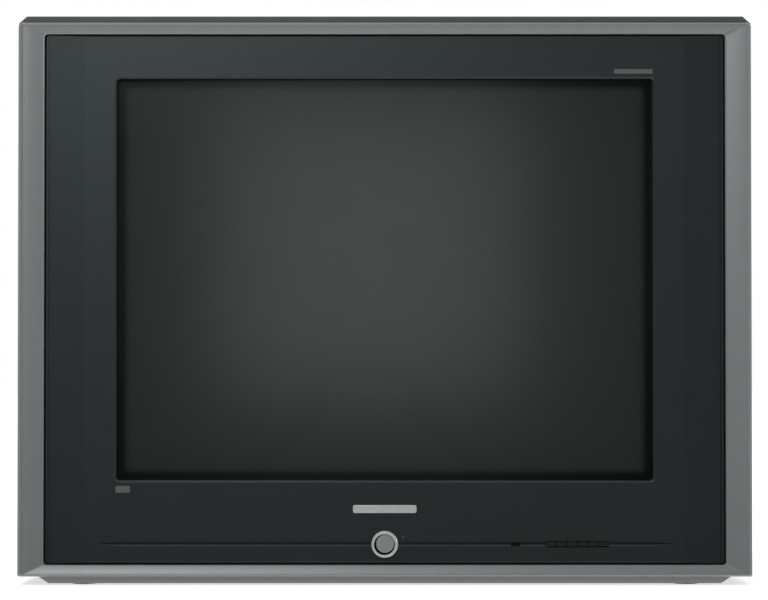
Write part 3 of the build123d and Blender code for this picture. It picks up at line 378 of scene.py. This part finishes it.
def wrapped_tape(name, colour):
    """Coil bundle wrapped in overlapping tape."""
    made, tree, shader = new_material(name)
    where = place(tree)
    turns = bands(tree, place(tree, (1, 1.4, 1)), 11 * MM, "DIAGONAL", 0.4)
    weave = noise(tree, where, 0.6 * MM, 2)
    base = blend_colours(tree, turns, shade(colour, 0.7), shade(colour, 1.3))
    tree.links.new(base, shader.inputs["Base Color"])
    tree.links.new(remap(tree, weave, 0.35, 0.55), shader.inputs["Roughness"])
    relief(tree, shader, turns, 0.5 * MM)
    return made


def braid(name, colour):
    """Bare strands plaited from two sides."""
    made, tree, shader = new_material(name)
    one = bands(tree, place(tree), 0.7 * MM, "DIAGONAL")
    two = bands(tree, place(tree, (-1, 1, 1)), 0.7 * MM, "DIAGONAL")
    strands = arithmetic(tree, "MULTIPLY", one, two)
    base = blend_colours(tree, strands, shade(colour, 0.4), colour)
    tree.links.new(base, shader.inputs["Base Color"])
    shader.inputs["Metallic"].default_value = 0.9
    tree.links.new(remap(tree, strands, 0.5, 0.3), shader.inputs["Roughness"])
    relief(tree, shader, strands, 0.3 * MM)
    return made


def circuit_board(name, colour, copper):
    """Board with tracks under its lacquer."""
    made, tree, shader = new_material(name)
    where = place(tree)
    tracks = remap(tree, noise(tree, place(tree, (1, 0.15, 1)), 5 * MM, 1), 0.0, 1.0, 0.52, 0.56)
    base = blend_colours(tree, tracks, colour, copper)
    tree.links.new(base, shader.inputs["Base Color"])
    gloss = remap(tree, noise(tree, where, 4 * MM, 3), 0.3, 0.45)
    tree.links.new(gloss, shader.inputs["Roughness"])
    relief(tree, shader, tracks, 0.04 * MM)
    return made


def sleeved_parts(name):
    """Board components: each patch of the board has its own sleeve colour."""
    made, tree, shader = new_material(name)
    where = place(tree)
    patch = cells(tree, place(tree, (1, 1, 0.01)), 40 * MM)
    base = blend_colours(tree, patch, (0.01, 0.012, 0.04), (0.09, 0.085, 0.075))
    tree.links.new(base, shader.inputs["Base Color"])
    gloss = remap(tree, noise(tree, where, 5 * MM, 3), 0.3, 0.45)
    tree.links.new(gloss, shader.inputs["Roughness"])
    relief(tree, shader, noise(tree, where, 1.5 * MM, 2), 0.05 * MM)
    return made


SILVER = (0.185, 0.197, 0.197)
PANEL = (0.0085, 0.0107, 0.011)
CABINET = (0.068, 0.068, 0.066)
# The plinth's colour: silver paint, made lighter than the frame's silver by painted light that
# offsets the shade under the frame.
PLINTH_PAINT_AND_LIGHT = (0.27, 0.27, 0.268)
COVER = (0.022, 0.0225, 0.0235)
CREAM = (0.62, 0.6, 0.52)

MAKERS = {
    "silver_trim": lambda n: silver_paint(n, SILVER),
    "panel_black": lambda n: moulded_plastic(n, PANEL, 0.4, 0.5 * MM, 0.012 * MM, 0.05,
                                             tint=(0.84, 0.97, 1.0)),
    "cabinet_grey": lambda n: two_tone_plastic_with_painted_light(n, CABINET, PLINTH_PAINT_AND_LIGHT),
    "cover_black": lambda n: moulded_plastic(n, COVER, 0.6, 1.1 * MM, 0.14 * MM),
    "foot_rubber": lambda n: rubber(n, (0.02, 0.02, 0.02)),
    "badge_silver": lambda n: silver_paint(n, (0.47, 0.48, 0.48), 0.3),
    "button_chrome": lambda n: silver_paint(n, (0.48, 0.49, 0.5), 0.24),
    "button_silver": lambda n: silver_paint(n, (0.27, 0.28, 0.28), 0.3),
    "key_silver": lambda n: moulded_plastic(n, (0.005, 0.006, 0.0062), 0.34, 0.5 * MM, 0.01 * MM),
    "ir_dark": lambda n: moulded_plastic(n, (0.004, 0.0038, 0.004), 0.12, 2 * MM, 0.002 * MM),
    "led_clear": lambda n: moulded_plastic(n, (0.05, 0.048, 0.048), 0.25, 0.6 * MM, 0.01 * MM),
    "board_brown": lambda n: circuit_board(n, (0.16, 0.09, 0.035), (0.24, 0.15, 0.06)),
    "board_green": lambda n: circuit_board(n, (0.012, 0.07, 0.025), (0.03, 0.13, 0.05)),
    "switch_black": lambda n: moulded_plastic(n, (0.02, 0.02, 0.022), 0.4),
    "screen_glass": tube_face,
    "funnel_glass": graphite_glass,
    "neck_glass": lambda n: clear_glass(n, (0.8, 0.86, 0.85)),
    "base_plastic": lambda n: moulded_plastic(n, CREAM, 0.45),
    "band_steel": lambda n: metal(n, (0.42, 0.42, 0.42), 0.4, (0.1, 1, 0.1)),
    "mask_steel": lambda n: metal(n, (0.05, 0.05, 0.055), 0.55),
    "gun_steel": lambda n: metal(n, (0.55, 0.55, 0.55), 0.25),
    "cap_rubber": lambda n: rubber(n, (0.14, 0.02, 0.016), 0.45),
    "lead_red": lambda n: rubber(n, (0.26, 0.02, 0.016), 0.38),
    "coil_tape": lambda n: wrapped_tape(n, (0.018, 0.018, 0.02)),
    "braid_copper": lambda n: braid(n, (0.55, 0.36, 0.24)),
    "coil_copper": lambda n: wound_wire(n, (0.5, 0.17, 0.06)),
    "former_white": lambda n: moulded_plastic(n, CREAM, 0.5),
    "ferrite": lambda n: moulded_plastic(n, (0.03, 0.03, 0.032), 0.5, 1.5 * MM, 0.1 * MM),
    "ring_black": lambda n: moulded_plastic(n, (0.022, 0.022, 0.024), 0.45),
    "ring_white": lambda n: moulded_plastic(n, CREAM, 0.45),
    "clamp_steel": lambda n: metal(n, (0.5, 0.5, 0.5), 0.3),
    "chassis_plastic": lambda n: moulded_plastic(n, (0.03, 0.03, 0.032), 0.5),
    "flyback_epoxy": lambda n: moulded_plastic(n, (0.015, 0.015, 0.017), 0.35, 3 * MM, 0.1 * MM),
    "knob_white": lambda n: moulded_plastic(n, (0.55, 0.55, 0.52), 0.4),
    "sink_aluminium": lambda n: metal(n, (0.6, 0.61, 0.62), 0.35, (1, 1, 0.1)),
    "component_mixed": sleeved_parts,
    "can_tin": lambda n: metal(n, (0.6, 0.59, 0.56), 0.3, grain=8 * MM),
    "jack_black": lambda n: moulded_plastic(n, (0.02, 0.02, 0.021), 0.4),
    "gland_black": lambda n: rubber(n, (0.015, 0.015, 0.015)),
    "speaker_black": lambda n: moulded_plastic(n, (0.02, 0.02, 0.021), 0.4, 2 * MM, 0.03 * MM),
    "screw_zinc": lambda n: metal(n, (0.5, 0.5, 0.47), 0.3),
    "screw_black": lambda n: metal(n, (0.03, 0.03, 0.03), 0.35),
}


def dress_nodes():
    """Give every CAD node the procedural material of its slot, made once for each slot."""
    made = {}
    for row in frame["record"]["subparts"]:
        slot = row["material_slot"]
        if slot not in made:
            made[slot] = MAKERS[slot](slot)
        mesh = frame["nodes"][row["node"]].data
        mesh.materials.clear()
        mesh.materials.append(made[slot])


# ------------------------------------------------------------------ pieces
def mesh_object(name, build, material):
    """Object from a bmesh builder, riding on the fixed body."""
    mesh = bpy.data.meshes.new(name)
    shape = bmesh.new()
    build(shape)
    bmesh.ops.recalc_face_normals(shape, faces=shape.faces)
    shape.to_mesh(mesh)
    shape.free()
    made = bpy.data.objects.new(name, mesh)
    bpy.context.scene.collection.objects.link(made)
    mesh.materials.append(material)
    for polygon in mesh.polygons:
        polygon.use_smooth = False
    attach(made, ROOT)


def rounded_outline(half_w, half_h, radius, steps=6):
    """Points of a rounded rectangle, counter-clockwise."""
    points = []
    corners = ((1, 1, 0), (-1, 1, 90), (-1, -1, 180), (1, -1, 270))
    for sx, sy, start in corners:
        for step in range(steps + 1):
            angle = math.radians(start + 90 * step / steps)
            points.append((sx * (half_w - radius) + radius * math.cos(angle),
                           sy * (half_h - radius) + radius * math.sin(angle)))
    return points


def plate_builder(centre, half_w, half_h, radius, thickness):
    """Thin plate with a chamfered edge, standing on a face across Y and facing the front."""
    def build(shape):
        chamfer = thickness * 0.4
        rings = []
        for inset, rise in ((0, 0), (0, thickness - chamfer), (chamfer, thickness)):
            outline = rounded_outline(half_w - inset, half_h - inset, radius - inset)
            rings.append([shape.verts.new((centre.x + x, centre.y - rise, centre.z + z))
                          for x, z in outline])
        for low, high in zip(rings, rings[1:]):
            for index in range(len(low)):
                following = (index + 1) % len(low)
                shape.faces.new((low[index], low[following], high[following], high[index]))
        shape.faces.new(rings[0])
        shape.faces.new(rings[-1])
    return build


def printed_marks():
    """Two blank printed marks on the panel, where a maker would print small notes."""
    material = moulded_plastic("mark_grey", (0.07, 0.075, 0.075), 0.4, 0.5 * MM, 0.005 * MM)
    for name, across, up, half_w, half_h in PRINTED_MARKS:
        centre = Vector((across, PANEL_FACE_Y, up))
        plate = plate_builder(centre, half_w, half_h, MARK_CORNER, MARK_THICKNESS)
        mesh_object(name, plate, material)


def ring_builder(x, z, y, r_out, r_in, thickness, steps=48):
    """Flat ring round a line along Y, standing on the plane y, with a chamfered outer edge."""
    def build(shape):
        chamfer = thickness * 0.4
        shoulder = thickness * 0.6
        profile = ((r_in, 0), (r_in, thickness), (r_out - chamfer, thickness), (r_out, shoulder),
                   (r_out, 0))
        rings = []
        for step in range(steps):
            angle = 2 * math.pi * step / steps
            rings.append([
                shape.verts.new((x + r * math.cos(angle), y + rise, z + r * math.sin(angle)))
                for r, rise in profile
            ])
        for step in range(steps):
            one, two = rings[step], rings[(step + 1) % steps]
            for index in range(len(profile)):
                following = (index + 1) % len(profile)
                shape.faces.new((one[index], one[following], two[following], two[index]))
    return build


def jack_colours():
    """Coloured insulating rings round the phono jacks: yellow, white and red in each row."""
    colours = {"yellow": (0.55, 0.36, 0.01), "white": (0.6, 0.6, 0.57), "red": (0.42, 0.012, 0.01)}
    terminal_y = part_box("av_jack_block")[1].y - JACK_LENGTH
    for row, z in JACK_ROWS:
        for (tone, colour), x in zip(colours.items(), JACK_COLUMNS):
            material = moulded_plastic(f"jack_{tone}_{row}", colour, 0.35)
            ring = ring_builder(x, z, terminal_y, JACK_RING_OUTER, JACK_RING_INNER,
                                JACK_RING_THICKNESS)
            mesh_object(f"jack_ring_{row}_{tone}", ring, material)


# ------------------------------------------------------------------ stage, light and camera
def make_floor():
    """Plain white floor that lights the set a little from below and isn't mirrored in its glass."""
    bpy.ops.mesh.primitive_plane_add(size=FLOOR_SIZE, location=(0, 0, CAD_LOW.z))
    floor = bpy.context.object
    floor.name = "floor"
    made, tree, shader = new_material("floor_white")
    speck = noise(tree, place(tree), 0.5, 2)
    base = blend_colours(tree, speck, (0.93, 0.93, 0.93), (0.95, 0.95, 0.95))
    tree.links.new(base, shader.inputs["Base Color"])
    shader.inputs["Roughness"].default_value = 0.9
    shader.inputs["Emission Color"].default_value = (1, 1, 1, 1)
    shader.inputs["Emission Strength"].default_value = FLOOR_GLOW
    floor.data.materials.append(made)
    floor.visible_glossy = False


def soft_light(name, location, size, power, target):
    """Square soft box that points at a target."""
    data = bpy.data.lights.new(name, "AREA")
    data.shape = "SQUARE"
    data.size = size
    data.energy = power
    lamp = bpy.data.objects.new(name, data)
    bpy.context.scene.collection.objects.link(lamp)
    lamp.location = location
    lamp.rotation_euler = (Vector(target) - Vector(location)).to_track_quat("-Z", "Y").to_euler()
    lamp.visible_camera = False


def make_world():
    """White studio, dark behind the camera and plain white where the camera sees it.

    Each term turns a part of the world's direction into brightness: the side and rear walls by Y,
    the table by a low Z, and the ceiling by a high Z.
    """
    world = bpy.data.worlds.new("studio")
    world.use_nodes = True
    tree = world.node_tree
    tree.nodes.clear()
    direction = tree.nodes.new("ShaderNodeTexCoord")
    split = tree.nodes.new("ShaderNodeSeparateXYZ")
    tree.links.new(direction.outputs["Generated"], split.inputs[0])
    sides = remap(tree, split.outputs["Y"], 0.0, SIDE_LIGHT, -0.75, -0.2)
    table = remap(tree, split.outputs["Z"], TABLE_LIGHT, 0.0, -0.6, -0.25)
    ceiling = remap(tree, split.outputs["Z"], FRONT_LIGHT, CEILING_LIGHT, 0.35, 0.8)
    strength = arithmetic(tree, "ADD", arithmetic(tree, "ADD", sides, table), ceiling)
    studio = tree.nodes.new("ShaderNodeBackground")
    studio.inputs["Color"].default_value = (1, 1, 1, 1)
    tree.links.new(strength, studio.inputs["Strength"])
    plain = tree.nodes.new("ShaderNodeBackground")
    plain.inputs["Color"].default_value = (1, 1, 1, 1)
    seen = tree.nodes.new("ShaderNodeLightPath")
    mix = tree.nodes.new("ShaderNodeMixShader")
    output = tree.nodes.new("ShaderNodeOutputWorld")
    tree.links.new(seen.outputs["Is Camera Ray"], mix.inputs[0])
    tree.links.new(studio.outputs[0], mix.inputs[1])
    tree.links.new(plain.outputs[0], mix.inputs[2])
    tree.links.new(mix.outputs[0], output.inputs["Surface"])
    bpy.context.scene.world = world


def make_camera():
    """Nearly square on, a little below the middle of the set."""
    data = bpy.data.cameras.new("camera")
    data.sensor_width = SENSOR_WIDTH
    data.lens = SENSOR_WIDTH * CAMERA_DISTANCE / FRAME_WIDTH
    camera = bpy.data.objects.new("camera", data)
    bpy.context.scene.collection.objects.link(camera)
    aim = Vector((CAMERA_AIM_X, CAD_LOW.y, CAMERA_AIM_Z))
    back = -CAMERA_DISTANCE * math.cos(CAMERA_PITCH)
    down = -CAMERA_DISTANCE * math.sin(CAMERA_PITCH)
    camera.location = aim + Vector((0, back, down))
    camera.rotation_euler = (math.radians(90) + CAMERA_PITCH, 0, 0)
    bpy.context.scene.camera = camera


make_camera()
dress_nodes()
printed_marks()
jack_colours()
make_floor()
make_world()
for soft_box in SOFT_BOXES:
    soft_light(*soft_box)
bpy.context.scene.view_settings.view_transform = "Standard"
